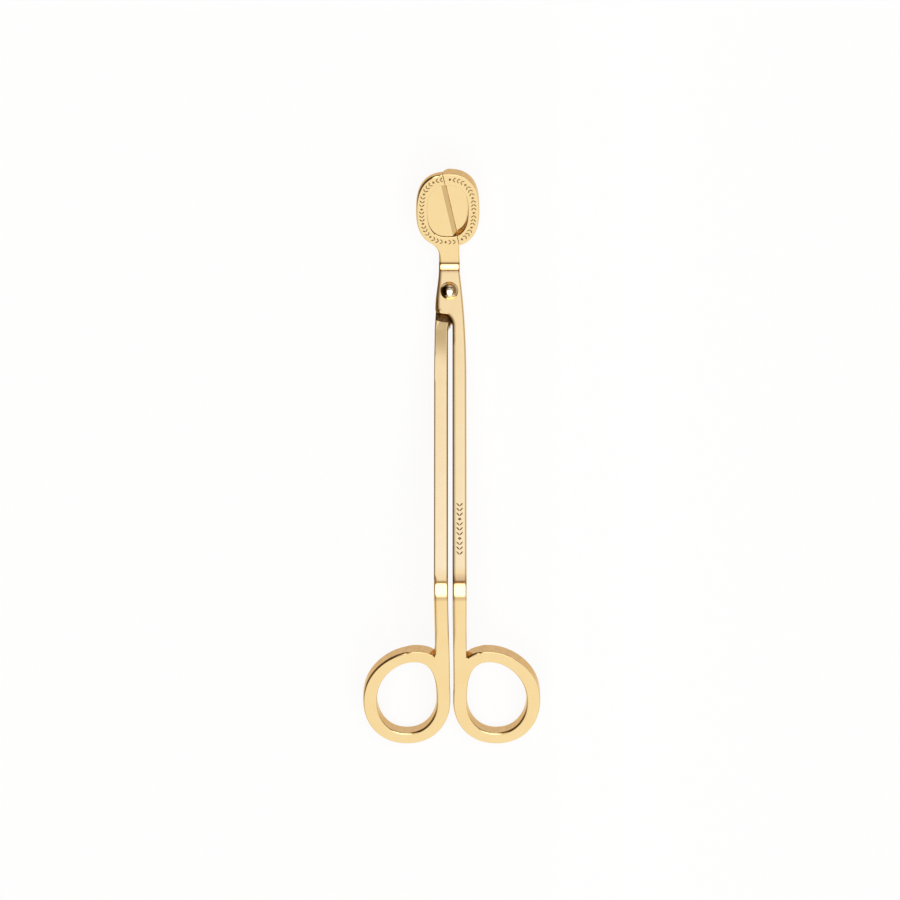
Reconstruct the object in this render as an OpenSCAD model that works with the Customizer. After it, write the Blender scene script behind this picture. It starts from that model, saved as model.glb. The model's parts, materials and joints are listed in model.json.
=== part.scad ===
// Candle wick trimmer. Two arms cross in a half lap at one pivot. Each arm runs from a half
// of the tilted oval head, over a bend, down a straight shaft, and over a second bend into
// its finger ring. Every arm is drawn as a flat blank and folded at its two bends.
// Blank coordinates are x across, s along the arm from the pivot (head side positive) and
// h up from the middle of the stock. The closed trimmer lies on its two rings and its neck.

/* [Stock] */
// Thickness of the arm stock
stock_t = 4.0; // [3.6:0.1:4.4]
// Width of each straight shaft
shaft_w = 4.3; // [4:0.1:4.6]
// Space between the two closed shafts
shaft_gap = 1.4; // [1.2:0.05:1.6]
// Rounding of the long edges of the shafts and neck
edge_r = 0.5; // [0.3:0.05:0.6]
// Rounding of the crisper edges of the rings and head
face_edge_r = 0.3; // [0.2:0.05:0.5]

/* [Side shape] */
// Angle of the neck bend and of the ring bend
bend_deg = 50; // [46:1:54]
// Pivot to the corner of the neck bend, along the top face
neck_corner = 7.8; // [7.2:0.1:8.6]
// Radius of the neck bend on its hollow top side
neck_bend_r = 3.5; // [3:0.1:4]
// Pivot to the corner of the ring bend, along the top face
ring_corner = 97.0; // [85:1:110]
// Radius of the ring bend on its round top side
ring_bend_r = 8.2; // [7.5:0.1:9]

/* [Finger rings] */
// Corner of the ring bend to the widest line of the ring
ring_center = 41.3; // [40:0.1:44]
// Outer width of one finger ring
ring_w = 27.0; // [25:0.5:30]
// Outer ring height above its widest line
ring_rise = 18.5; // [17.5:0.1:20]
// Outer ring height below its widest line
ring_drop = 16.8; // [15.5:0.1:18]
// Width of the finger hole
hole_w = 18.5; // [16.5:0.5:21]
// Finger hole height above the widest line
hole_rise = 14.7; // [13.5:0.1:15.5]
// Finger hole height below the widest line
hole_drop = 12.7; // [11.5:0.1:13.5]
// Lean of the ring's crown towards the shaft
ring_lean = 3.0; // [1.5:0.1:3.5]
// Space between the two closed rings
ring_gap = 0.9; // [0.6:0.1:1.4]

/* [Head] */
// Width of the oval head
head_w = 19.6; // [18:0.2:21]
// Corner of the neck bend to the middle of the head
head_center = 19.9; // [19:0.1:21]
// Head length above its middle
head_rise = 12.8; // [12.2:0.1:13.6]
// Head length below its middle
head_drop = 12.7; // [12.1:0.1:13.3]
// Width of the raised border round the recess
border_w = 3.45; // [3:0.05:3.8]
// Depth of the recess in the upper blade
blade_recess = 0.45; // [0.3:0.05:0.7]
// Angle of the split line between the two head halves
split_deg = 11.7; // [9:0.1:13]
// Slit between the raised borders of the closed head
split_gap = 0.25; // [0.2:0.05:0.4]
// Width of the ground bevel along the upper cutting edge
bevel_w = 1.3; // [1:0.1:1.6]
// Thickness of the upper blade left at its cutting edge
blade_land = 0.85; // [0.5:0.05:1.1]
// Reach of the lower blade under the upper one
blade_overlap = 1.0; // [0.8:0.1:1.2]
// Round corner at the tip of the lower blade
lip_r = 2.8; // [2:0.1:3.2]

/* [Lap joint and pivot] */
// Width of the neck
neck_w = 6.5; // [6:0.1:7]
// Radius of the lap joint's round shoulder about the pivot
lap_r = 10.6; // [10.3:0.1:11.2]
// Free space between the two lap faces
lap_gap = 0.05; // [0.04:0.01:0.1]
// Diameter of the pivot's domed cap
cap_d = 5.6; // [5:0.1:6]
// Height of the domed cap above the arm
cap_h = 2.3; // [2:0.1:2.6]
// Diameter of the pivot barrel
barrel_d = 3.2; // [3:0.1:3.6]
// Radial running clearance of the barrel in the upper arm
barrel_play = 0.04; // [0.02:0.01:0.08]
// Diameter of the pivot screw's shank
screw_d = 1.8; // [1.6:0.1:2]
// Diameter of the pivot screw's head
screw_head_d = 4.8; // [4.4:0.1:5.2]
// Height of the pivot screw's head
screw_head_h = 0.9; // [0.7:0.1:1.1]

/* [Hidden] */

half_t = stock_t / 2;
deg_to_mm = PI / 180;
past = 1;                  // how far a cutting tool runs past what it cuts
arc_steps = 3;             // flats in each rounded edge
bend_steps = 8;            // flats in each bend
ring_steps = 72;           // sections round a finger ring
head_steps = 64;           // points round the oval head

// Middles of the closed shafts and rings, across from the pivot
shaft_mid_x = 0.3;
ring_mid_x = 0.75;
head_x = -0.48;

// Bends: middle radii, tangent points on the shaft, and lengths along the blank
neck_mid_r = neck_bend_r + half_t;
ring_mid_r = ring_bend_r - half_t;
half_bend = tan(bend_deg / 2);
neck_s = neck_corner - neck_bend_r * half_bend;
neck_end_s = neck_s + neck_mid_r * bend_deg * deg_to_mm;
ring_s = -ring_corner + ring_bend_r * half_bend;
ring_end_s = ring_s - ring_mid_r * bend_deg * deg_to_mm;
head_s = neck_end_s + head_center - neck_bend_r * half_bend;
ring_mid_s = ring_end_s - ring_center + ring_bend_r * half_bend;

// Folds a point [x, s, h] of the flat blank into the bent arm, pivot at the origin
function neck_fold(x, s, h) =
    let(a = min(bend_deg, (s - neck_s) / neck_mid_r / deg_to_mm),
        on = max(0, s - neck_end_s))
    [x,
     neck_s + (neck_mid_r - h) * sin(a) + on * cos(a),
     neck_mid_r - (neck_mid_r - h) * cos(a) + on * sin(a)];
function ring_fold(x, s, h) =
    let(a = min(bend_deg, (ring_s - s) / ring_mid_r / deg_to_mm),
        on = max(0, ring_end_s - s))
    [x,
     ring_s - (ring_mid_r + h) * sin(a) - on * cos(a),
     (ring_mid_r + h) * cos(a) - ring_mid_r - on * sin(a)];
function fold(p) =
    p[1] > neck_s ? neck_fold(p[0], p[1], p[2])
    : p[1] < ring_s ? ring_fold(p[0], p[1], p[2])
    : p;

// Rest: the shafts lean by rest_deg so that the ring ends and the neck bend touch the table
function turned(p, a) = [p[0], p[1] * cos(a) + p[2] * sin(a), p[2] * cos(a) - p[1] * sin(a)];
ring_foot = fold([0, ring_mid_s - ring_drop + face_edge_r, face_edge_r - half_t]);
neck_axis = [0, neck_s, neck_mid_r];
function foot_gap(a) =
    (turned(ring_foot, a)[2] - face_edge_r) - (turned(neck_axis, a)[2] - neck_mid_r - half_t);
function solve_rest(lo, hi, n) =
    n == 0 ? (lo + hi) / 2
    : let(mid = (lo + hi) / 2)
      foot_gap(mid) > 0 ? solve_rest(lo, mid, n - 1) : solve_rest(mid, hi, n - 1);
rest_deg = solve_rest(0, 40, 40);
ring_front = fold([0, ring_mid_s - ring_drop + face_edge_r, half_t - face_edge_r]);
head_back = fold([0, head_s + head_rise, -half_t]);
rest_front = turned(ring_front, rest_deg)[1] - face_edge_r;
rest_back = turned(head_back, rest_deg)[1];
pivot_at = [-ring_mid_x,
            -(rest_front + rest_back) / 2,
            neck_mid_r + half_t - turned(neck_axis, rest_deg)[2]];

// Puts a part drawn about the pivot, shafts level, into its place on the table
module at_rest() {
    translate(pivot_at) rotate([-rest_deg, 0, 0]) children();
}
// Puts a part drawn in blank coordinates on the plane of the head
module on_head() {
    translate(fold([0, neck_end_s, 0])) rotate([bend_deg, 0, 0])
        translate([0, -neck_end_s, 0]) children();
}

// Smooth step from a to b as s goes from s0 to s1
function ease(s, s0, s1, a, b) =
    let(t = max(0, min(1, (s - s0) / (s1 - s0)))) a + (b - a) * t * t * (3 - 2 * t);

// Section across the stock between x0 and x1, h0 and h1, with rounded edges
function corner(x, h, r, a0) =
    [for (i = [0 : arc_steps]) [x + r * cos(a0 + 90 * i / arc_steps),
                                h + r * sin(a0 + 90 * i / arc_steps)]];
function section(x0, x1, h0, h1, r_low, r_top) = concat(
    corner(x1 - r_low, h0 + r_low, r_low, -90),
    corner(x1 - r_top, h1 - r_top, r_top, 0),
    corner(x0 + r_top, h1 - r_top, r_top, 90),
    corner(x0 + r_low, h0 + r_low, r_low, 180));

// Closed surface through a list of equal rings of points
module skin(rings, loop = false) {
    n = len(rings[0]);
    m = len(rings);
    sides = [for (j = [0 : m - (loop ? 1 : 2)], i = [0 : n - 1])
        let(k = (i + 1) % n, a = j * n, b = ((j + 1) % m) * n)
        each [[a + i, b + k, a + k], [a + i, b + i, b + k]]];
    caps = loop ? [] : [[for (i = [0 : n - 1]) i],
                        [for (i = [0 : n - 1]) m * n - 1 - i]];
    polyhedron([for (r = rings, p = r) p], concat(sides, caps), convexity = 8);
}

// Stretch of an arm through stations [s, x0, x1, h0, h1, r_low, r_top], s rising
module arm_stretch(stations) {
    skin([for (j = [len(stations) - 1 : -1 : 0]) let(q = stations[j])
        [for (p = section(q[1], q[2], q[3], q[4], q[5], q[6])) fold([p[0], q[0], p[1]])]]);
}

// Egg outline: point at angle a, half width w, rising and dropping from its widest line,
// crown leaning towards +x, with a squareness from 2 (ellipse) upwards
function spread(v, n) = sign(v) * pow(abs(v), 2 / n);
function egg(a, w, rise, drop, lean, n) =
    let(v = spread(sin(a), n), y = v * (v > 0 ? rise : drop))
    [w * spread(cos(a), n) + (v > 0 ? lean * v * v : 0), y];
ring_square = 2.15;
hole_square = 2.15;
hole_lean = ring_lean * 0.8;
hole_offset = 0.15;        // the hole's widest line lies this far below the ring's
head_square = 2.5;
border_end_w = border_w + 0.3;  // the border is a little wider at its two ends

// Finger ring as a closed loop of sections; side is 1 for the left ring, -1 for the right
module finger_ring(side) {
    mid_x = ring_mid_x - side * (ring_gap + ring_w) / 2;
    skin([for (i = [0 : ring_steps - 1])
        let(a = -side * 360 * i / ring_steps,
            o = egg(a, ring_w / 2, ring_rise, ring_drop, ring_lean, ring_square),
            q = egg(a, hole_w / 2, hole_rise, hole_drop, hole_lean, hole_square)
                - [0, hole_offset],
            d = norm(o - q))
        [for (p = section(0, d, -half_t, half_t, face_edge_r, face_edge_r))
            let(u = q + (o - q) * p[0] / d)
            fold([mid_x + side * u[0], ring_mid_s + u[1], p[1]])]], loop = true);
}

// Oval head blank with its upper or lower edges rounded
function head_ring(inset, h) =
    [for (i = [0 : head_steps - 1])
        let(p = egg(360 * i / head_steps, head_w / 2 - inset, head_rise - inset,
                    head_drop - inset, 0, head_square))
        [head_x + p[0], head_s + p[1], h]];
module head_blank(h0, h1, r_low, r_top) {
    low = [for (i = [0 : arc_steps]) let(a = 90 * i / arc_steps)
        head_ring(r_low * (1 - sin(a)), h0 + r_low * (1 - cos(a)))];
    top = [for (i = [0 : arc_steps]) let(a = 90 * i / arc_steps)
        head_ring(r_top * (1 - cos(a)), h1 - r_top * (1 - sin(a)))];
    skin(concat(low, top));
}
module head_recess(floor_h) {
    translate([0, 0, floor_h]) linear_extrude(stock_t)
        polygon([for (i = [0 : head_steps - 1])
            let(p = egg(360 * i / head_steps, head_w / 2 - border_w, head_rise - border_end_w,
                        head_drop - border_end_w, 0, head_square))
            [head_x + p[0], head_s + p[1]]]);
}

// The split line crosses the middle of the head split_x to the right of the pivot's line.
// Its own frame has x square to the line, y along it.
split_x = 0.62;
module on_split() {
    translate([split_x, head_s, 0]) rotate([0, 0, split_deg]) children();
}
split_len = 60;
module left_of_split(x, h0, h1) {
    on_split() translate([x - split_len, -split_len / 2, h0]) cube([split_len, split_len, h1 - h0]);
}
module right_of_split(x, h0, h1) {
    on_split() translate([x, -split_len / 2, h0]) cube([split_len, split_len, h1 - h0]);
}

// Shaft and its run into the ring, the same on both sides; side is 1 on the left
ring_run = 38.0;           // ring bend corner to the end of the shaft inside the ring
run_start = 26.0;          // where the shaft starts to narrow inside the ring
run_end_w = 3.0;           // its width where it ends
run_tuck = 0.12;           // it ends this far inside the ring's outer line
shaft_top_s = -14;         // top of the plain shaft
function run_s(w) = ring_end_s - w + ring_bend_r * half_bend;
function shaft_inner(s, side) = ease(s, run_s(ring_run), ring_s,
    ring_mid_x - side * (ring_gap / 2 + run_tuck), shaft_mid_x - side * shaft_gap / 2);
crotch_w = 1.3;            // the shaft widens by this much where the ring leaves it
crotch_len = 5;            // over this length
function shaft_width(s) =
    let(t = max(0, min(1, (run_s(run_start) + crotch_len - s) / crotch_len)))
    ease(s, run_s(ring_run), run_s(run_start), run_end_w, shaft_w + crotch_w * t * t);
function shaft_station(s, side) =
    let(inner = shaft_inner(s, side), outer = inner - side * shaft_width(s))
    [s, min(inner, outer), max(inner, outer), -half_t, half_t, edge_r, edge_r];
shaft_stops = concat(
    [for (w = [ring_run, 35, 32, 29, run_start, 24.5, 23, 21, 10]) run_s(w)],
    [for (i = [0 : bend_steps]) ring_end_s + (ring_s - ring_end_s) * i / bend_steps],
    [-70, -40, shaft_top_s]);

// Both arms about the pivot: the neck, and the plate that widens below it
lap_h = lap_gap / 2;       // each lap face lies this far from the middle of the stock
sharp_r = 0.02;            // rounding of an edge that stays sharp
neck_mid_x = 0.03;
heel_x = -4.35;            // left edge of the upper arm's plate at its heel
heel_s = -7.5;             // lowest edge of the heel
heel_r = 1.9;              // round corner of the heel
heel_flat_w = 0.5;         // straight end of the heel between its corner and the hollow
seam = 0.1;                // smallest step between two sections
hollow_len = 4.0;          // length of the hollow from the heel down to the shaft
plate_curve_s = -30;       // the right edge curves out to the shaft down to here
plate_curve = 2.2;         // and this sharply
neck_trim = 0.15;          // the upper neck's right edge keeps this far inside the plate's
right_x = shaft_mid_x + shaft_gap / 2 + shaft_w;
function plate_left(s) = ease(s, -5.5, neck_s + 1.6, heel_x, neck_mid_x - neck_w / 2);
function plate_right(s) = right_x + (neck_mid_x + neck_w / 2 - right_x)
    * pow(max(0, min(s, neck_s) - plate_curve_s) / (neck_s - plate_curve_s),
          plate_curve);
bend_stops = [for (i = [0 : bend_steps]) neck_s + (neck_end_s - neck_s) * i / bend_steps];
neck_top_s = head_s - head_drop + 3.4;
flare_w = 3.1;             // how far the neck spreads on its left where it meets the head
flare_len = 5;             // over this length
flare_s = head_s - head_drop - 3.4;
function flare(s) = flare_w * pow(max(0, min(1, (s - flare_s) / flare_len)), 2.6);
neck_stops = concat([for (i = [0 : 5]) flare_s + flare_len * i / 5], [neck_top_s]);

// Upper arm from its ring to the head: full stock up to the lap, half of it from there on
module upper_bar() {
    inner_x = shaft_mid_x + shaft_gap / 2;
    hollow_w = inner_x - heel_x - heel_r - heel_flat_w;
    full = [-half_t, half_t, edge_r, edge_r];
    half = [lap_h, half_t, sharp_r, edge_r];
    shaft = [for (s = shaft_stops) let(q = shaft_station(s, -1))
        [s, q[1], min(q[2], plate_right(s)), q[3], q[4], q[5], q[6]]];
    hollow = [for (a = [90 : -15 : 0]) let(s = heel_s - seam - hollow_len * (1 - cos(a)))
        concat([s, inner_x - hollow_w * (1 - sin(a)), plate_right(s)], a > 15 ? full : half)];
    corner = [for (a = [75 : -15 : 0]) let(s = heel_s + heel_r * (1 - sin(a)))
        concat([s, heel_x + heel_r * (1 - cos(a)), plate_right(s)], half)];
    plate = [for (s = concat([-4, -2, 0, 2, 4], bend_stops))
        concat([s, plate_left(s), plate_right(s)], half)];
    neck = [for (s = neck_stops)
        concat([s, plate_left(s) - flare(s), plate_right(s) - neck_trim], half)];
    arm_stretch(concat(shaft, hollow, corner, plate, neck));
}

// Lower arm from its ring to the head. Its neck is thinner from the bend on, so that the
// two bent necks pass each other as they turn.
neck_relief = 0.55;
tang_end_s = head_s - 4;   // the lower neck runs this far under the head
lip_fall_deg = 12;         // fall of the lower blade away from its cutting edge
plate_inset = 0.2;         // the hidden plate keeps this far inside the upper one
// The lower arm's inner edge spreads under the upper plate: [s, reach past the shaft]
toe = [[-12.6, 0.02], [-11.9, 0.1], [-11.4, 0.35], [-11, 0.75], [-10.2, 0.9], [-9.6, 1.5],
       [-9, 2.4], [-8, 3.4], [-6.6, 4.1]];
module lower_bar() {
    full = [-half_t, half_t, edge_r, edge_r];
    thin = [-half_t, -lap_h - neck_relief, edge_r, sharp_r];
    shaft_left = shaft_mid_x - shaft_gap / 2 - shaft_w + neck_trim;
    shaft_right = shaft_mid_x - shaft_gap / 2;
    shaft = [for (s = shaft_stops) shaft_station(s, 1)];
    fork = [for (q = toe) concat([q[0], shaft_left, shaft_right + q[1]], full)];
    plate = [for (s = [-5, -2, 0, 2, 4, neck_s - 1.2])
        concat([s, max(shaft_left, plate_left(s) + plate_inset), plate_right(s) - plate_inset],
               full)];
    neck = [for (s = concat([neck_s - 0.6], bend_stops, neck_stops))
        concat([s, plate_left(s) + plate_inset, plate_right(s) - plate_inset / 2], thin)];
    tang = [for (s = [neck_top_s + 3, neck_top_s + 6])
        concat([s, split_x - tan(split_deg) * (s - head_s) - 3.5, plate_right(s)], thin)];
    arm_stretch(concat(shaft, fork, plate, neck, tang));
}

module pivot_hole(play) {
    cylinder(d = barrel_d + 2 * play, h = 4 * stock_t, center = true, $fn = 48);
}

// Blade half of the head on the upper arm: thin plate, shallow recess, bevelled cutting edge
module upper_blade() {
    edge_h = lap_h + blade_land;
    bevel_deg = atan(bevel_w / (half_t - blade_recess - edge_h));
    difference() {
        head_blank(lap_h, half_t, sharp_r, face_edge_r);
        right_of_split(0, -stock_t, 2 * stock_t);
        right_of_split(-split_gap / 2, half_t / 2, 2 * stock_t);
        head_recess(half_t - blade_recess);
        intersection() {
            head_recess(-half_t);
            on_split() translate([0, 0, edge_h]) rotate([0, -bevel_deg, 0])
                translate([0, -split_len / 2, -stock_t])
                    cube([2 * stock_t, split_len, 3 * stock_t]);
        }
    }
}

// Tray half of the head on the lower arm: full stock, deep recess, and the lower blade as a
// lip that reaches under the upper one, with a round corner at its tip
module lower_tray() {
    tip_y = head_rise - seam - lip_r;
    difference() {
        head_blank(-half_t, half_t, face_edge_r, face_edge_r);
        on_split() translate([0, 0, -stock_t]) linear_extrude(stock_t) difference() {
            translate([-blade_overlap - past, tip_y]) square([lip_r + past, 2 * lip_r]);
            translate([lip_r - blade_overlap, tip_y]) circle(lip_r, $fn = 48);
        }
        left_of_split(-blade_overlap, -stock_t, stock_t);
        left_of_split(split_gap / 2, 0, stock_t);
        on_split() rotate([0, -lip_fall_deg, 0])
            translate([-split_len, -split_len / 2, 0]) cube([split_len, split_len, stock_t]);
        head_recess(0);
    }
}

module upper_arm() {
    color("gold") at_rest() difference() {
        union() {
            difference() {
                upper_bar();
                on_head() right_of_split(-split_gap / 2, -stock_t, 2 * stock_t);
            }
            on_head() upper_blade();
            finger_ring(-1);
        }
        pivot_hole(barrel_play);
        translate([0, 0, -stock_t]) cylinder(r = lap_r, h = stock_t + lap_h, $fn = 96);
    }
}

module lower_arm() {
    color("goldenrod") at_rest() difference() {
        union() {
            lower_bar();
            on_head() lower_tray();
            finger_ring(1);
        }
        pivot_hole(barrel_play / 2);
        translate([0, 0, -lap_h]) cylinder(r = lap_r, h = stock_t, $fn = 96);
    }
}

// Domed cap: its barrel is the axle that both arms turn on
cap_side_h = 0.5;          // straight side under the dome
cap_lift = 0.03;           // running space under the cap
barrel_end = 0.1;          // the barrel ends this far inside the lower arm
screw_play = 0.02;         // radial space between the barrel and the screw's shank
cap_wall = 0.6;            // the screw hole stops this far below the top of the stock
module pivot_cap() {
    rise = cap_h - cap_side_h;
    dome_r = (pow(cap_d / 2, 2) + rise * rise) / (2 * rise);
    base = half_t + cap_lift;
    color("gold") at_rest() difference() {
        union() {
            translate([0, 0, base]) intersection() {
                cylinder(d = cap_d, h = cap_h + past, $fn = 64);
                translate([0, 0, cap_h - dome_r]) sphere(r = dome_r, $fn = 96);
            }
            translate([0, 0, barrel_end - half_t])
                cylinder(d = barrel_d, h = stock_t, $fn = 48);
        }
        translate([0, 0, -half_t])
            cylinder(d = screw_d + 2 * screw_play, h = stock_t - cap_wall, $fn = 32);
    }
}

// Screw from below, with a plain slot across its head
slot_w = 0.7;              // width of the slot
slot_d = 0.4;              // and its depth
screw_tip = 0.3;           // the shank ends this far short of its hole's end
chamfer_w = 0.3;           // chamfer round the head's face
module pivot_screw() {
    color("darkgoldenrod") at_rest() translate([0, 0, -half_t]) difference() {
        union() {
            translate([0, 0, -screw_head_h]) cylinder(d = screw_head_d, h = screw_head_h, $fn = 48);
            translate([0, 0, -seam])
                cylinder(d = screw_d, h = stock_t - cap_wall - screw_tip, $fn = 32);
        }
        translate([-screw_head_d, -slot_w / 2, -screw_head_h - past])
            cube([2 * screw_head_d, slot_w, slot_d + past]);
        difference() {
            translate([0, 0, -screw_head_h - past])
                cylinder(d = 2 * screw_head_d, h = past + chamfer_w, $fn = 48);
            translate([0, 0, -screw_head_h - past])
                cylinder(d1 = screw_head_d - 2 * (chamfer_w + past), d2 = screw_head_d,
                         h = past + chamfer_w, $fn = 48);
        }
    }
}

upper_arm();
lower_arm();
pivot_cap();
pivot_screw();
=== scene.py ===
"""Brass candle wick trimmer: its two crossed arms, pivot and plain studio, as a Blender add-on.

Both arms are made as flat blanks in metres, x across, s along the arm from the pivot (head
side positive) and h up from the middle of the stock, and are then folded at their two bends.
"""

import json
import math

import bmesh
import bpy
import numpy as np
from bpy.props import FloatProperty, FloatVectorProperty, IntProperty, PointerProperty
from mathutils import Matrix, Vector
from mathutils.geometry import delaunay_2d_cdt


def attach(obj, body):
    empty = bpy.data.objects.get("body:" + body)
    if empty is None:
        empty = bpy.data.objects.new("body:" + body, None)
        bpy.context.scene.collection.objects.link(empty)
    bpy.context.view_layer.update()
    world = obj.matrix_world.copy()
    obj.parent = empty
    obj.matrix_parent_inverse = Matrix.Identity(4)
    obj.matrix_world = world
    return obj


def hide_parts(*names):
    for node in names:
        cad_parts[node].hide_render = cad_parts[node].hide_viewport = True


bl_info = {
    "name": "Wick Trimmer",
    "version": (1, 0, 0),
    "blender": (4, 5, 0),
    "location": "View3D > Sidebar > Wick Trimmer",
    "description": "Folded brass wick trimmer with a half-lapped pivot",
    "category": "Add Mesh",
}

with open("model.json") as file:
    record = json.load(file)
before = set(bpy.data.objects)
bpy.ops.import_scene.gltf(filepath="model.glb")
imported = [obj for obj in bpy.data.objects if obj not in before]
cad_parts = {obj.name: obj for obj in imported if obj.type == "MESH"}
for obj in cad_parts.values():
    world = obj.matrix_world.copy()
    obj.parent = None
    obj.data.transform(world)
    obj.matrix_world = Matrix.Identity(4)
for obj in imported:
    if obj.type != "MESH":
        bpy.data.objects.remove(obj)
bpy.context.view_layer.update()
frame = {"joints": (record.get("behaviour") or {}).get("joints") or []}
MM = 0.001

# Squareness of the ring's and the head's outlines, where 2 is an ellipse
RING_SQUARE, HEAD_SQUARE = 2.15, 2.5
# Along the arm: the shaft's run into the ring, the underside of the upper arm's heel, the
# low end of the lower arm's toe, where the top of the left shaft tilts, and how far above and
# below the low end of the head the neck widens
RUN_IN = 38 * MM
HEEL_LOW, HEEL_TOP, TOE_LOW = -17 * MM, -5 * MM, -13 * MM
TILT_LOW, TILT_TOP = -30 * MM, -10 * MM
FLARE = 3.4 * MM
# How far the cutting tools reach: past the stock, past the head across and along the slit,
# and past the whole neck
PAST, ASIDE, ALONG, BEYOND = 9 * MM, 30 * MM, 16 * MM, 60 * MM
# Numbers of the finishes on an arm. The lap, recess and slit finishes are painted shade, and the
# engraving's finish also paints shadow on the top band of the deep recess's wall
PLATED, LAP, ENGRAVED_AND_RIM_SHADOW, RECESS, SLIT = range(5)


def length(name, text, default_mm):
    """A length property whose default is given in millimetres."""
    return FloatProperty(name=name, description=text, default=default_mm * MM,
                         min=0.0, subtype="DISTANCE", unit="LENGTH", precision=5)


def colour(name, text, default):
    return FloatVectorProperty(name=name, description=text, default=default, size=3,
                               min=0.0, max=1.0, subtype="COLOR")


class TrimmerSizes(bpy.types.PropertyGroup):
    """Sizes of the trimmer, the same as its solids have."""

    stock_t: length("Stock thickness", "Thickness of the arm stock", 4.0)
    shaft_w: length("Shaft width", "Width of each straight shaft", 4.3)
    shaft_gap: length("Shaft gap", "Space between the closed shafts", 1.4)
    edge_r: length("Edge rounding", "Rounding of the edges of the shafts and neck", 0.5)
    face_edge_r: length("Face edge rounding", "Rounding of the crisper ring and head edges", 0.3)
    roll_w: length("Polished roll", "Width of the soft roll beside each long edge", 0.8)
    neck_corner: length("Neck corner", "Pivot to the corner of the neck bend", 7.8)
    neck_bend_r: length("Neck bend radius", "Radius of the neck bend on top", 3.5)
    ring_corner: length("Ring corner", "Pivot to the corner of the ring bend", 97.0)
    ring_bend_r: length("Ring bend radius", "Radius of the ring bend on top", 8.2)
    ring_center: length("Ring centre", "Ring bend corner to the widest line of the ring", 41.3)
    ring_w: length("Ring width", "Outer width of one finger ring", 27.0)
    ring_rise: length("Ring rise", "Outer ring height above its widest line", 18.5)
    ring_drop: length("Ring drop", "Outer ring height below its widest line", 16.8)
    hole_w: length("Hole width", "Width of the finger hole", 18.5)
    hole_rise: length("Hole rise", "Finger hole height above its widest line", 14.7)
    hole_drop: length("Hole drop", "Finger hole height below its widest line", 12.7)
    ring_lean: length("Ring lean", "Lean of the ring's crown towards the shaft", 3.0)
    ring_gap: length("Ring gap", "Space between the closed rings", 0.9)
    head_w: length("Head width", "Width of the oval head", 19.6)
    head_center: length("Head centre", "Neck bend corner to the middle of the head", 19.9)
    head_rise: length("Head rise", "Head length above its middle", 12.8)
    head_drop: length("Head drop", "Head length below its middle", 12.7)
    border_w: length("Border width", "Width of the raised border", 3.45)
    blade_recess: length("Blade recess", "Depth of the recess in the upper blade", 0.45)
    split_gap: length("Split gap", "Slit between the borders of the closed head", 0.25)
    bevel_w: length("Bevel width", "Width of the ground cutting bevel", 1.3)
    blade_land: length("Blade land", "Thickness left at the upper cutting edge", 0.85)
    lip_r: length("Lip corner", "Round corner at the tip of the lower blade", 2.8)
    blade_overlap: length("Blade overlap", "Reach of the lower blade under the upper", 1.0)
    neck_w: length("Neck width", "Width of the neck", 6.5)
    lap_r: length("Lap radius", "Radius of the lap joint's round shoulder", 10.6)
    lap_gap: length("Lap gap", "Free space between the lap faces", 0.05)
    mark_pitch: length("Mark pitch", "Spacing of the engraved marks", 1.28)
    leaf_len: length("Leaf length", "Length of an engraved leaf", 1.15)
    leaf_w: length("Leaf width", "Width of an engraved leaf", 0.36)
    mark_depth: length("Mark depth", "Depth of the engraved marks", 0.08)
    cap_d: length("Cap diameter", "Diameter of the domed pivot cap", 5.6)
    cap_h: length("Cap height", "Height of the domed pivot cap", 2.3)
    screw_head_d: length("Screw head diameter", "Diameter of the pivot screw's head", 4.8)
    screw_head_h: length("Screw head height", "Height of the pivot screw's head", 0.9)
    bend: FloatProperty(name="Bend angle", description="Angle of the neck and ring bends",
                        default=math.radians(50.0), subtype="ANGLE", unit="ROTATION")
    split: FloatProperty(name="Split angle", description="Angle of the slit across the head",
                         default=math.radians(11.7), subtype="ANGLE", unit="ROTATION")
    bend_steps: IntProperty(name="Bend steps", description="Flats in each bend", default=20,
                            min=6, max=60)


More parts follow.
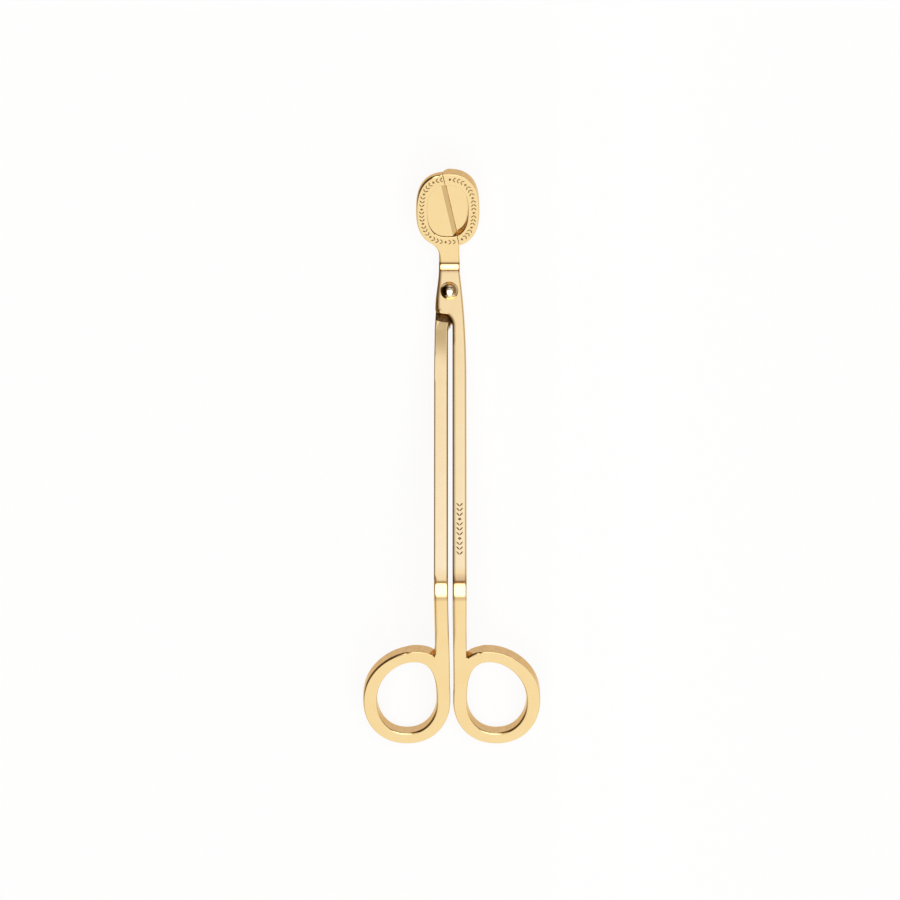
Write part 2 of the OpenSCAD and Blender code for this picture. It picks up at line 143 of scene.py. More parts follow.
class TrimmerColours(bpy.types.PropertyGroup):
    """Colours of the metal, of the light and shade painted on it, and of the studio."""

    gold: colour("Plating", "Colour of the brass plating", (0.925, 0.70, 0.355))
    gold_warm: colour("Warm plating", "Colour where the plating is thicker", (0.91, 0.665, 0.315))
    # Painted light: the tint ramp along y mixes this pale gold onto the shafts and a band at the
    # neck bend; on the cap it is a plain cloud tone.
    pale_gold_and_painted_light: colour("Pale plating", "Colour the plating goes to down the shafts",
                      (0.98, 0.79, 0.47))
    # Painted shade: the wall attribute mixes this tanner gold onto the steep side walls, and the
    # tint ramp along y mixes it in below 0.5; on the screw it is also a cloud tone.
    tan_gold_and_wall_shade: colour("Shadowed walls", "Colour of the plating on the side walls",
                      (0.62, 0.39, 0.19))
    # Painted shade: the lap faces and the lap's round shoulder, down in the gap between the arms,
    # are coloured dark as shade, with the lighter brass in random stains.
    lap_shade_dark: colour("Lap shadowing", "Dark shadowing on the ground lap faces", (0.06, 0.03, 0.01))
    lap_shade_light: colour("Lap brass", "Bare brass of the ground lap faces", (0.30, 0.17, 0.06))
    # Painted shade: the shade attribute mixes this dark gold onto the left edges, under the heel,
    # round the toe and on the upper left crescents; the tint ramp along y paints it as dark lines
    # at the bends.
    gold_painted_shade: colour("Shaded edges", "Dark gold on the left edges and under the heel",
                      (0.17, 0.085, 0.02))
    # Painted shade: the wall of the upper blade's shallow recess is coloured near black as shade,
    # with the lighter tone in random stains.
    recess_shade_dark: colour("Recess wall", "Wall of the shallow recess", (0.07, 0.035, 0.01))
    recess_shade_light: colour("Recess wall light", "Lighter parts of the shallow recess's wall",
                         (0.14, 0.08, 0.025))
    # Painted shade: the wall of the deep recess in the lower arm's half of the head is coloured a
    # darker orange gold as shade, with the lighter tone in random stains.
    tray_shade_dark: colour("Tray wall", "Wall of the deep recess", (0.66, 0.38, 0.09))
    tray_shade_light: colour("Tray wall light", "Lighter parts of the deep recess's wall",
                       (0.80, 0.50, 0.14))
    # Painted shade: the walls of the slit and the ledge of the lower blade under it are coloured
    # darker gold as shade, with the lighter tone in random stains.
    slit_shade_dark: colour("Slit", "Gold deep in the slit", (0.60, 0.33, 0.07))
    slit_shade_light: colour("Slit light", "Lighter gold in the slit", (0.90, 0.55, 0.14))
    cap_light: colour("Cap", "Palest gold of the domed cap", (1.0, 0.90, 0.66))
    # Painted shade on the domed cap: its wall attribute mixes in the cap sides' gold away from its
    # brightest spot, and its shade attribute mixes in the cap shade on the left and in an arc
    # above that spot.
    cap_side_shade: colour("Cap sides", "Darker gold round the domed cap", (0.40, 0.25, 0.09))
    cap_deep: colour("Cap shade", "Darkest gold on the left of the domed cap",
                     (0.035, 0.016, 0.004))
    # The engraving's colours also paint shadow on the top band of the deep recess's wall in the
    # lower arm's half of the head.
    engraved: colour("Engraving", "Darkened bottom of the engraved marks", (0.16, 0.09, 0.03))
    engraved_light: colour("Engraving edge", "Lighter parts of the engraved marks",
                           (0.42, 0.26, 0.10))
    floor: colour("Floor", "Colour of the floor", (1.0, 1.0, 1.0))


# ---------------------------------------------------------------- flat shapes

def ease(s, s0, s1, a, b):
    """Smooth step from a to b as s goes from s0 to s1."""
    t = np.clip((s - s0) / (s1 - s0), 0.0, 1.0)
    return a + (b - a) * t * t * (3 - 2 * t)


def grow(v, start, width):
    """0 up to the start, then straight up to 1 over the width."""
    return np.clip((v - start) / width, 0, 1)


def mix(a, b, t):
    """Straight way from a to b."""
    return a + (b - a) * t


def spread(v, n):
    """Sine or cosine v of a circle made squarer; n = 2 leaves it as it is."""
    return np.sign(v) * np.abs(v) ** (2.0 / n)


def egg(count, w, rise, drop, lean, n):
    """Egg outline, counterclockwise from its right end, with its crown leaning to +x."""
    a = np.linspace(0, 2 * math.pi, count, endpoint=False)
    v = spread(np.sin(a), n)
    up = v > 0
    y = v * np.where(up, rise, drop)
    x = w * spread(np.cos(a), n) + np.where(up, lean * v * v, 0.0)
    return np.column_stack([x, y])


class Blank:
    """The trimmer's sizes worked out along the flat blank, and the fold that bends it."""

    def __init__(self, z, side=0):
        self.z = z
        self.side = side
        self.half_t = z.stock_t / 2
        tan_half = math.tan(z.bend / 2)
        self.neck_mid_r = z.neck_bend_r + self.half_t
        self.ring_mid_r = z.ring_bend_r - self.half_t
        self.neck_s = z.neck_corner - z.neck_bend_r * tan_half
        self.neck_end_s = self.neck_s + self.neck_mid_r * z.bend
        self.ring_s = -z.ring_corner + z.ring_bend_r * tan_half
        self.ring_end_s = self.ring_s - self.ring_mid_r * z.bend
        self.head_s = self.neck_end_s + z.head_center - z.neck_bend_r * tan_half
        self.ring_mid_s = self.ring_end_s - z.ring_center + z.ring_bend_r * tan_half
        self.run_0 = self.ring_end_s + z.ring_bend_r * tan_half
        self.lap_h = z.lap_gap / 2
        self.shaft_mid_x = 0.3 * MM
        self.ring_mid_x = 0.75 * MM
        self.head_x = -0.48 * MM
        self.neck_mid_x = 0.03 * MM
        self.split_x = 0.62 * MM
        self.heel_x = -4.35 * MM
        self.heel_s = -7.5 * MM
        self.right_x = self.shaft_mid_x + z.shaft_gap / 2 + z.shaft_w
        self.neck_top_s = self.head_s - z.head_drop + FLARE
        # Depth below the top down to which the deep recess's wall is painted with shadow
        self.rim_shadow = 0.84 * MM
        axis = frame["joints"][0]
        self.pivot = np.array(axis["pos_m"])
        self.rest = math.atan2(axis["axis"][1], axis["axis"][2])

    def fold(self, p):
        """Blank points (x, s, h) folded at both bends and set down at rest."""
        x, s, h = p[:, 0], p[:, 1], p[:, 2]
        a = np.clip((s - self.neck_s) / self.neck_mid_r, 0, self.z.bend)
        on = np.maximum(0, s - self.neck_end_s)
        neck_y = self.neck_s + (self.neck_mid_r - h) * np.sin(a) + on * np.cos(a)
        neck_z = self.neck_mid_r - (self.neck_mid_r - h) * np.cos(a) + on * np.sin(a)
        b = np.clip((self.ring_s - s) / self.ring_mid_r, 0, self.z.bend)
        off = np.maximum(0, self.ring_end_s - s)
        ring_y = self.ring_s - (self.ring_mid_r + h) * np.sin(b) - off * np.cos(b)
        ring_z = (self.ring_mid_r + h) * np.cos(b) - self.ring_mid_r - off * np.sin(b)
        y = np.where(s > self.neck_s, neck_y, np.where(s < self.ring_s, ring_y, s))
        z = np.where(s > self.neck_s, neck_z, np.where(s < self.ring_s, ring_z, h))
        return self.at_rest(np.column_stack([x, y, z]))

    def at_rest(self, p):
        c, s = math.cos(self.rest), math.sin(self.rest)
        return self.pivot + np.column_stack([p[:, 0], p[:, 1] * c + p[:, 2] * s,
                                             p[:, 2] * c - p[:, 1] * s])

    def finish_at(self, c, n):
        """Number of the finish of a face with its middle at c and its normal n."""
        z = self.z
        level, upright = abs(n.z) > 0.9, abs(n.z) < 0.3
        lap_face = abs(abs(c.z) - self.lap_h) < 0.01 * MM
        shoulder = abs(math.hypot(c.x, c.y) - z.lap_r) < 0.03 * MM and abs(n.z) < 0.1
        # Painted shade: the lap faces and the lap's shoulder in the gap get the dark lap finish
        if TOE_LOW < c.y < self.neck_s and (lap_face or shoulder):
            return LAP
        sunk = self.half_t - c.z
        mark_floor = level and abs(sunk - z.mark_depth) < 0.004 * MM
        if mark_floor or upright and 0 < sunk < 0.7 * z.mark_depth:
            return ENGRAVED_AND_RIM_SHADOW
        if not self.in_head(c):
            return PLATED
        across = (c.x - self.split_x) * math.cos(z.split) + (c.y - self.head_s) * math.sin(z.split)
        slit_wall = abs(across) < z.split_gap / 2 + 0.02 * MM and abs(n.z) < 0.4
        ledge = -z.blade_overlap < across < z.split_gap / 2 and abs(c.z) < 0.3 * MM and n.z > 0.9
        # Painted shade: the slit's walls and the lower blade's ledge under it get the dark slit
        # finish
        if slit_wall or ledge:
            return SLIT
        # Painted shade: the recess walls get the dark recess finish, and the top band of the deep
        # recess's wall gets the engraving's finish as painted shadow
        if upright:
            return ENGRAVED_AND_RIM_SHADOW if self.side > 0 and sunk < self.rim_shadow else RECESS
        return PLATED

    def shade_at(self, c, n):
        """How much painted shade darkens a face: on the left edges of the upper arm's shaft and
        plate, under its heel, on both edges of the lower arm's shaft, round its toe, and on the
        upper left edges of the neck, the ring, the hole and the head."""
        if self.ring_s < c.y < self.neck_end_s:
            if self.side < 0:
                under = grow(-n.y, 0.2, 0.3) if HEEL_LOW < c.y < HEEL_TOP else 0.0
                return max(grow(-n.x, 0.3, 0.4), under)
            if c.y > HEEL_TOP:
                return 0.0
            inner = self.shaft_mid_x - self.z.shaft_gap / 2
            toe = c.y > TOE_LOW and c.x > inner + 0.03 * MM and n.z > -0.3
            return 1.0 if toe else grow(abs(n.x), 0.3, 1.0)
        flat = math.hypot(n.x, n.y)
        if n.z < 0.1 or flat < 0.15:
            return 0.0
        if self.neck_end_s < c.y < self.neck_top_s:
            return 0.5 * grow(-n.x, 0.3, 0.4)
        start = 0.36 if c.y > 0 else 0.04 if self.by_hole(c.x, c.y) else 0.2
        return 0.8 * grow(-n.x / flat, start, 0.12) * grow(n.y / flat, 0.0, 0.35)

    def in_head(self, c):
        """True for the walls of the slit and of the recess, well inside the head's line."""
        z, inside = self.z, 0.6 * MM
        away = abs((c.x - self.head_x) / (z.head_w / 2 - inside)) ** HEAD_SQUARE
        reach = z.head_rise if c.y > self.head_s else z.head_drop
        return away + abs((c.y - self.head_s) / (reach - inside)) ** HEAD_SQUARE < 1

    def ring_loops(self, side):
        """Outer line and finger hole of one ring; side is 1 on the left, -1 on the right."""
        z = self.z
        mid = np.array([self.ring_mid_x - side * (z.ring_gap + z.ring_w) / 2, self.ring_mid_s])
        outer = egg(220, z.ring_w / 2, z.ring_rise, z.ring_drop, z.ring_lean, RING_SQUARE)
        hole = egg(180, z.hole_w / 2, z.hole_rise, z.hole_drop, z.ring_lean * 0.8, RING_SQUARE)
        hole[:, 1] -= 0.15 * MM
        turn = np.array([side, 1.0])
        return mid + outer * turn, mid + hole * turn

    def shaft_inner(self, s, side):
        z = self.z
        return ease(s, self.run_0 - RUN_IN, self.ring_s,
                    self.ring_mid_x - side * (z.ring_gap / 2 + 0.12 * MM),
                    self.shaft_mid_x - side * z.shaft_gap / 2)

    def shaft_width(self, s):
        """Width of the shaft, slim where it starts beside the ring and widest in its bend."""
        slim = 3 * MM
        widen = 1.3 * MM * grow(self.run_0 - s, 21 * MM, 5 * MM) ** 2
        t = np.clip((s - self.run_0 + RUN_IN) / (12 * MM), 0, 1)
        return slim + (self.z.shaft_w + widen - slim) * t * t * (3 - 2 * t)

    def plate_left(self, s):
        return ease(s, -5.5 * MM, self.neck_s + 1.6 * MM, self.heel_x,
                    self.neck_mid_x - self.z.neck_w / 2)

    def plate_right(self, s):
        low = TILT_LOW
        t = np.maximum(0, np.minimum(s, self.neck_s) - low) / (self.neck_s - low)
        return mix(self.right_x, self.neck_mid_x + self.z.neck_w / 2, t ** 2.2)

    def flare(self, s):
        """How much the neck widens into the head."""
        start = self.head_s - self.z.head_drop - FLARE
        return 3.1 * MM * grow(s, start, 5 * MM) ** 2.6

    def on_faces(self, s):
        """How far a point belongs to the tilted faces of the ring or head, from 0 to 1."""
        return np.maximum(grow(s, self.neck_end_s, 4 * MM),
                          grow(self.ring_mid_s + 26 * MM - s, 0, 6 * MM))

    def by_hole(self, x, s):
        z = self.z
        return np.hypot(abs(x - self.ring_mid_x) - (z.ring_gap + z.ring_w) / 2,
                        (s - self.ring_mid_s) * 0.66) < z.hole_w / 2 + 0.8 * MM

    def by_heel(self, s, out_s):
        """How far a point is on the underside of the upper arm's heel and its hollow."""
        by = (self.side < 0) & (s > HEEL_LOW) & (s < HEEL_TOP)
        return by * grow(-out_s, 0.8, 0.18)

    def edge_at(self, loop):
        """Edge rounding at each point of a loop. It is crisp on the far side of the ring and
        head, wider on their left shoulders, and widest down the left of the plate."""
        z, x, s = self.z, loop[:, 0], loop[:, 1]
        out_x, out_s = outward(loop).T
        far = np.where(self.by_hole(x, s), 0.45, 0.12) * MM
        face = mix(z.face_edge_r, far, grow(out_s, 0.1, 0.3))
        face = mix(face, 0.5 * MM, grow(-out_x, 0.10, 0.12) * grow(out_s, -0.1, 0.3))
        r = mix(z.edge_r, face, self.on_faces(s))
        shaft = (s > self.ring_s) * (s < HEEL_TOP) * grow(-out_x, 0.5, 0.3)
        if self.side < 0:
            plate = grow(-out_x, 0.2, 0.5) * (s > -8 * MM) * (s < self.neck_s)
            r += plate * 0.5 * MM * (1 - grow(s, -7.5 * MM, 13 * MM))
            r -= 0.12 * MM * shaft * (s < HEEL_LOW)
        else:
            r = mix(r, 0.14 * MM + 0.16 * MM * (s < TILT_LOW), shaft)
        return mix(r, 0.15 * MM, self.by_heel(s, out_s))

    def roll_at(self, loop):
        """Width of the polished roll inside the edge at each point of a loop."""
        z, x, s = self.z, loop[:, 0], loop[:, 1]
        out_x, out_s = outward(loop).T
        narrow = 0.05 * MM
        face = np.where(self.by_hole(x, s), 0.4, 0.05) * MM
        roll = mix(z.roll_w, face, self.on_faces(s))
        if self.side > 0:
            roll[(s > TILT_LOW) & (s < TILT_TOP) & (out_x > 0.5)] = narrow
            roll[(s > self.ring_s) & (s < HEEL_TOP) & (out_x < -0.5)] = 0.25 * MM
        return mix(roll, narrow, self.by_heel(s, out_s))

    def shaft_stops(self, top):
        """Places along the shaft up to the top, close together beside the ring."""
        return np.concatenate([np.arange(self.run_0 - RUN_IN, self.run_0, 0.4 * MM),
                               np.arange(self.run_0, top, 1.5 * MM), [top]])

    def head_egg(self, count, inset_w, inset_l):
        z = self.z
        loop = egg(count, z.head_w / 2 - inset_w, z.head_rise - inset_l, z.head_drop - inset_l,
                   0.0, HEAD_SQUARE)
        return loop + np.array([self.head_x, self.head_s])

    def on_split(self, p):
        """Points (x square to the slit, y along it) in blank coordinates."""
        c, s = math.cos(self.z.split), math.sin(self.z.split)
        p = np.asarray(p, float)
        return np.column_stack([self.split_x + p[:, 0] * c - p[:, 1] * s,
                                self.head_s + p[:, 0] * s + p[:, 1] * c])


def outline(plus, minus=()):
    """Outer lines and holes of the union of some polygons less some others.
    Each loop keeps the material on its left."""
    verts, faces = [], []
    for poly in [*plus, *minus]:
        if area([Vector(p) for p in poly]) < 0:
            poly = poly[::-1]
        faces.append(list(range(len(verts), len(verts) + len(poly))))
        verts += [Vector((p[0] / MM, p[1] / MM)) for p in poly]
    v, _, f, _, _, ids = delaunay_2d_cdt(verts, [], faces, 0, 1e-4, True)
    kept = [t for t, own in zip(f, ids)
            if any(i < len(plus) for i in own) and not any(i >= len(plus) for i in own)]
    directed = {(t[k], t[(k + 1) % len(t)]) for t in kept for k in range(len(t))}
    follow = {a: b for a, b in directed if (b, a) not in directed}
    loops = []
    while follow:
        first = min(follow)
        loop, at = [], first
        while at in follow:
            loop.append(at)
            at = follow.pop(at)
        pts = np.array([v[i][:] for i in loop]) * MM
        far = np.linalg.norm(pts - np.roll(pts, 1, axis=0), axis=1) > 0.04 * MM
        loops.append(pts[far])
    return [p for p in loops if len(p) > 4]


def outward(loop):
    """Unit vector out of the material at each point of a loop."""
    along = np.roll(loop, -1, axis=0) - np.roll(loop, 1, axis=0)
    along /= np.maximum(np.linalg.norm(along, axis=1), 1e-9)[:, None]
    return np.column_stack([along[:, 1], -along[:, 0]])


def inset(loop, d):
    """The loop moved into the material by d at each point, with its mitres kept short."""
    ahead = np.roll(loop, -1, axis=0) - loop
    ahead /= np.linalg.norm(ahead, axis=1)[:, None]
    behind = np.roll(ahead, 1, axis=0)
    tangent = ahead + behind
    tangent /= np.maximum(np.linalg.norm(tangent, axis=1), 1e-9)[:, None]
    normal = np.column_stack([-tangent[:, 1], tangent[:, 0]])
    stretch = 1 / np.maximum(0.7, (tangent * ahead).sum(1))
    return loop + normal * (d * stretch)[:, None]


def edge_profile(steps=6, lean=math.radians(7)):
    """Points (share of the edge radius, share of the roll width, drop from each) of the
    polished edge, from the flat face out to the wall."""
    arc = 1 / (1 - math.sin(lean))
    points = [(1.0, 1 - t, 0.0, t * t * math.tan(lean) / 2) for t in (0, 0.35, 0.7)]
    points += [(arc * (1 - math.sin(a)), 0.0, arc * (math.cos(lean) - math.cos(a)),
                math.tan(lean) / 2) for a in np.linspace(lean, math.pi / 2, steps + 1)]
    return points


def slab(name, loops, h0, h1, edge=None, roll=None):
    """Flat solid on some loops, from h0 to h1. edge and roll give the width of the rounding
    and of the roll inside it at each point of a loop."""
    if not edge:
        return loft(name, [[(loop, np.full(len(loop), h)) for loop in loops] for h in (h0, h1)])
    low, top = [], []
    for of_r, of_roll, drop_r, drop_roll in edge_profile():
        rounded = [(inset(loop, edge(loop) * of_r + roll(loop) * of_roll),
                    edge(loop) * drop_r + roll(loop) * drop_roll) for loop in loops]
        low.append([(p, h0 + d) for p, d in rounded])
        top.append([(p, h1 - d) for p, d in rounded])
    return loft(name, low + top[::-1])


def loft(name, layers):
    """Solid through layers of loops, each a list of (points, heights)."""
    bm = bmesh.new()
    ends = []
    for layer in layers:
        ends.append([[bm.verts.new((p[0], p[1], h)) for p, h in zip(*pair)] for pair in layer])
    for low, high in zip(ends, ends[1:]):
        for a, b in zip(low, high):
            for i in range(len(a)):
                k = (i + 1) % len(a)
                bm.faces.new((a[i], a[k], b[k], b[i]))
    for row, up in ((ends[0], False), (ends[-1], True)):
        flat = [q for loop in row for q in loop]
        holes = {i for i, loop in enumerate(row) if area([q.co for q in loop]) < 0}
        faces, at = [], 0
        for i, loop in enumerate(row):
            step = list(range(at, at + len(loop)))
            faces.append(step[::-1] if i in holes else step)
            at += len(loop)
        flat_mm = [Vector((q.co.x / MM, q.co.y / MM)) for q in flat]
        _, _, f, back, _, ids = delaunay_2d_cdt(flat_mm, [], faces, 0, 1e-6, True)
        for t, own in zip(f, ids):
            if own and not holes & set(own) and all(back[i] for i in t):
                corners = [flat[back[i][0]] for i in t]
                if area([q.co for q in corners]) < 0:
                    corners.reverse()
                if not up:
                    corners.reverse()
                if len(set(corners)) == len(corners):
                    bm.faces.new(corners)
    bmesh.ops.recalc_face_normals(bm, faces=bm.faces[:])
    return as_object(name, bm)


def area(points):
    """Area inside the points, positive where they go counterclockwise."""
    return 0.5 * sum(a.x * b.y - b.x * a.y for a, b in zip(points, [*points[1:], points[0]]))


def as_object(name, bm):
    mesh = bpy.data.meshes.new(name)
    bm.to_mesh(mesh)
    bm.free()
    obj = bpy.data.objects.new(name, mesh)
    bpy.context.scene.collection.objects.link(obj)
    return obj


def cut(obj, tool, how="DIFFERENCE"):
    """obj less the tool, or joined with it; the tool is used up."""
    m = obj.modifiers.new("cut", "BOOLEAN")
    m.solver = "EXACT"
    m.operation = how
    m.object = tool
    m.material_mode = "TRANSFER"
    bpy.context.view_layer.update()
    result = obj.evaluated_get(bpy.context.evaluated_depsgraph_get())
    mesh = bpy.data.meshes.new_from_object(result)
    obj.modifiers.clear()
    old = obj.data
    obj.data = mesh
    bpy.data.meshes.remove(old)
    bpy.data.objects.remove(tool)


def box(points, h0, h1):
    return slab("tool", [np.asarray(points, float)], h0, h1)


def wall_prism(profile, x0, x1):
    """Solid with a side profile of (s, h) points, from x0 to x1."""
    bm = bmesh.new()
    a, b = ([bm.verts.new((x, s, h)) for s, h in profile] for x in (x0, x1))
    bm.faces.new(a)
    bm.faces.new(b[::-1])
    for i in range(len(a)):
        k = (i + 1) % len(a)
        bm.faces.new((a[i], b[i], b[k], a[k]))
    bmesh.ops.recalc_face_normals(bm, faces=bm.faces[:])
    return as_object("tool", bm)


def disc(r, count=160):
    a = np.linspace(0, 2 * math.pi, count, endpoint=False)
    return np.column_stack([r * np.cos(a), r * np.sin(a)])


def fold_mesh(obj, blank):
    """Slices the blank across its bends, gives its faces their finish and their painted shade,
    folds it and sets it down at rest."""
    bm = bmesh.new()
    bm.from_mesh(obj.data)
    steps = blank.z.bend_steps
    bends = ((blank.neck_s, blank.neck_end_s), (blank.ring_end_s, blank.ring_s))
    for s in [a + (b - a) * i / steps for a, b in bends for i in range(steps + 1)]:
        bmesh.ops.bisect_plane(bm, geom=bm.verts[:] + bm.edges[:] + bm.faces[:],
                               plane_co=(0, s, 0), plane_no=(0, 1, 0), dist=1e-7)
    bmesh.ops.triangulate(bm, faces=[f for f in bm.faces if len(f.verts) > 4])
    bm.normal_update()
    wall = bm.faces.layers.float.new("wall")
    shade = bm.faces.layers.float.new("shade")
    for f in bm.faces:
        c = f.calc_center_median()
        # Painted shade: wall marks the steep faces for the tanner wall gold, and shade holds the
        # darker painted shade of shade_at
        f[wall] = grow(1 - abs(f.normal.z), 0.25, 0.5)
        f[shade] = blank.shade_at(c, f.normal)
        f.material_index = blank.finish_at(c, f.normal)
    for v, p in zip(bm.verts, blank.fold(np.array([v.co for v in bm.verts]))):
        v.co = p
    bm.to_mesh(obj.data)
    bm.free()


def finish_metal(obj, materials, body, node):
    """Soft shading with crisp cut edges, the finishes, and the piece's place in the frame."""
    mesh = obj.data
    mesh.polygons.foreach_set("use_smooth", [True] * len(mesh.polygons))
    mesh.set_sharp_from_angle(angle=math.radians(20))
    m = obj.modifiers.new("even", "WEIGHTED_NORMAL")
    m.keep_sharp = True
    m.weight = 100
    used = np.zeros(len(mesh.polygons), np.int32)
    mesh.polygons.foreach_get("material_index", used)
    mesh.materials.clear()
    for material in materials:
        mesh.materials.append(material)
    mesh.polygons.foreach_set("material_index", np.minimum(used, len(materials) - 1))
    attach(obj, body)
    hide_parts(node)


# ---------------------------------------------------------------- materials

class Paint:
    """Small helper that adds nodes to a material or world and links them."""

    def __init__(self, owner):
        owner.use_nodes = True
        self.tree = owner.node_tree
        self.tree.nodes.clear()

    def add(self, kind, **settings):
        node = self.tree.nodes.new("ShaderNode" + kind)
        for key, value in settings.items():
            setattr(node, key, value)
        return node

    def link(self, value, socket):
        """Links an output to a socket, or sets the socket to a plain value."""
        if isinstance(value, bpy.types.NodeSocket):
            self.tree.links.new(value, socket)
        else:
            socket.default_value = value

    def place(self, kind="Object"):
        return self.add("TexCoord").outputs[kind]

    def stretched(self, scale):
        """Object coordinates stretched by a scale for each axis."""
        mapping = self.add("Mapping")
        mapping.inputs["Scale"].default_value = scale
        self.link(self.place(), mapping.inputs["Vector"])
        return mapping.outputs["Vector"]

    def split(self, vector):
        node = self.add("SeparateXYZ")
        self.link(vector, node.inputs[0])
        return node.outputs

    def noise(self, vector, scale, detail=3.0, rough=0.5):
        n = self.add("TexNoise")
        for key, v in (("Vector", vector), ("Scale", scale), ("Detail", detail),
                       ("Roughness", rough)):
            self.link(v, n.inputs[key])
        return n.outputs["Fac"]

    def math(self, operation, a, b=0.0):
        node = self.add("Math", operation=operation)
        self.link(a, node.inputs[0])
        self.link(b, node.inputs[1])
        return node.outputs[0]

    def ranged(self, value, a, b, to_a, to_b):
        m = self.add("MapRange")
        for key, v in (("Value", value), ("From Min", a), ("From Max", b), ("To Min", to_a),
                       ("To Max", to_b)):
            self.link(v, m.inputs[key])
        return m.outputs["Result"]

    def mixed(self, fac, a, b):
        m = self.add("Mix", data_type="RGBA")
        for socket, value in ((m.inputs["Factor"], fac), (m.inputs["A"], a), (m.inputs["B"], b)):
            self.link(value if isinstance(value, bpy.types.NodeSocket) else (*value[:3], 1.0),
                      socket)
        return m.outputs["Result"]

    def ramp(self, value, stops):
        """Colours along a value; stops are pairs of the value and its colour, in order."""
        low, high = stops[0][0], stops[-1][0]
        node = self.add("ValToRGB")
        self.link(self.ranged(value, low, high, 0.0, 1.0), node.inputs["Fac"])
        marks = node.color_ramp.elements
        for at, _ in stops[1:-1]:
            marks.new((at - low) / (high - low))
        for mark, (_, tone) in zip(marks, stops):
            mark.color = (*tone, 1)
        return node.outputs["Color"]

    def bump(self, height, distance, strength, normal=None):
        b = self.add("Bump")
        b.inputs["Distance"].default_value = distance
        b.inputs["Strength"].default_value = strength
        self.link(height, b.inputs["Height"])
        if normal is not None:
            self.link(normal, b.inputs["Normal"])
        return b.outputs["Normal"]

    def seen(self, ray):
        return self.add("LightPath").outputs[f"Is {ray} Ray"]

    def blend(self, share, a, b):
        """Mix of two shaders, with that share of the second."""
        both = self.add("MixShader")
        for value, socket in zip((share, a.outputs[0], b.outputs[0]), both.inputs):
            self.link(value, socket)
        return both.outputs[0]

    def surface(self, output, kind="OutputMaterial"):
        self.link(output, self.add(kind).inputs["Surface"])


def bare_metal(name):
    """New material of bare metal, with its paint helper and the sockets of its shader."""
    material = bpy.data.materials.new(name)
    p = Paint(material)
    shader = p.add("BsdfPrincipled")
    shader.inputs["Metallic"].default_value = 1.0
    p.surface(shader.outputs["BSDF"])
    return material, p, shader.inputs


def plating_and_painted_shade(name, face, cloud, wall, deep, pale=None, painted_light_by_y=(), along=(1.0, 1.0, 1.0), gloss=0.13):
    """Polished plating with painted light and shade: two golds in soft clouds, a tanner gold
    painted as shade on the steep walls, dark gold painted as shade where the shade attribute marks
    the edges, hairline scratches and a slightly wavy face. The tints given along y paint light and
    shade: the pale gold above 0.5, the walls' tanner gold below, and at almost 0 the dark gold."""
    material, p, sockets = bare_metal(name)
    sockets["Specular Tint"].default_value = (1.0, 0.85, 0.6, 1.0)
    plain = p.stretched((1.0, 1.0, 1.0))
    clouds = p.ranged(p.noise(plain, 140.0, 4.0), 0.3, 0.7, 0.0, 0.7)
    gold = p.mixed(clouds, face, cloud)
    # Painted light and shade along y: paler shafts, a pale band and dark lines at the bends
    if painted_light_by_y:
        tint = p.ramp(p.split(p.place())[1], [(y, (v, v, v)) for y, v in painted_light_by_y])
        for start, end, tone in ((0.5, 1.0, pale), (0.5, 0.0, wall), (0.12, 0.03, deep)):
            gold = p.mixed(p.ranged(tint, start, end, 0.0, 1.0), gold, tone)
    # Painted shade: steep walls go to the tanner wall gold, broken up at random
    painted_wall_shade = p.add("Attribute", attribute_name="wall").outputs["Fac"]
    shade_breakup = p.ranged(p.noise(plain, 900.0, 3.0, 0.6), 0.35, 0.65, 0.75, 1.0)
    gold = p.mixed(p.math("MULTIPLY", painted_wall_shade, shade_breakup), gold, wall)
    # Painted shade: the shade attribute mixes in the dark gold
    shade = p.add("Attribute", attribute_name="shade").outputs["Fac"]
    p.link(p.mixed(shade, gold, deep), sockets["Base Color"])
    smears = p.noise(plain, 420.0, 5.0, 0.6)
    p.link(p.ranged(smears, 0.25, 0.75, gloss * 0.8, gloss * 1.35), sockets["Roughness"])
    hairs = p.noise(p.stretched(along), 9000.0, 2.0, 0.7)
    wavy = p.bump(p.noise(plain, 90.0, 1.0), 0.00006, 0.35)
    p.link(p.bump(hairs, 0.000004, 0.35, wavy), sockets["Normal"])
    return material


def ground_brass(name, dark, light, gloss=0.34):
    """Unpolished brass of the lap faces and cuts, with fine turning marks and its dark and light
    colours mixed in random stains; for the lap, the recesses and the slit these colours are
    painted shade.
    """
    material, p, sockets = bare_metal(name)
    plain = p.stretched((1.0, 1.0, 1.0))
    stains = p.ranged(p.noise(plain, 700.0, 4.0, 0.6), 0.35, 0.7, 0.0, 1.0)
    p.link(p.mixed(stains, dark, light), sockets["Base Color"])
    p.link(p.ranged(p.noise(plain, 1500.0, 3.0), 0.3, 0.7, gloss * 0.8, gloss * 1.4),
           sockets["Roughness"])
    marks = p.noise(p.stretched((1.0, 0.05, 1.0)), 6000.0, 2.0, 0.6)
    p.link(p.bump(marks, 0.00001, 0.5), sockets["Normal"])
    return material


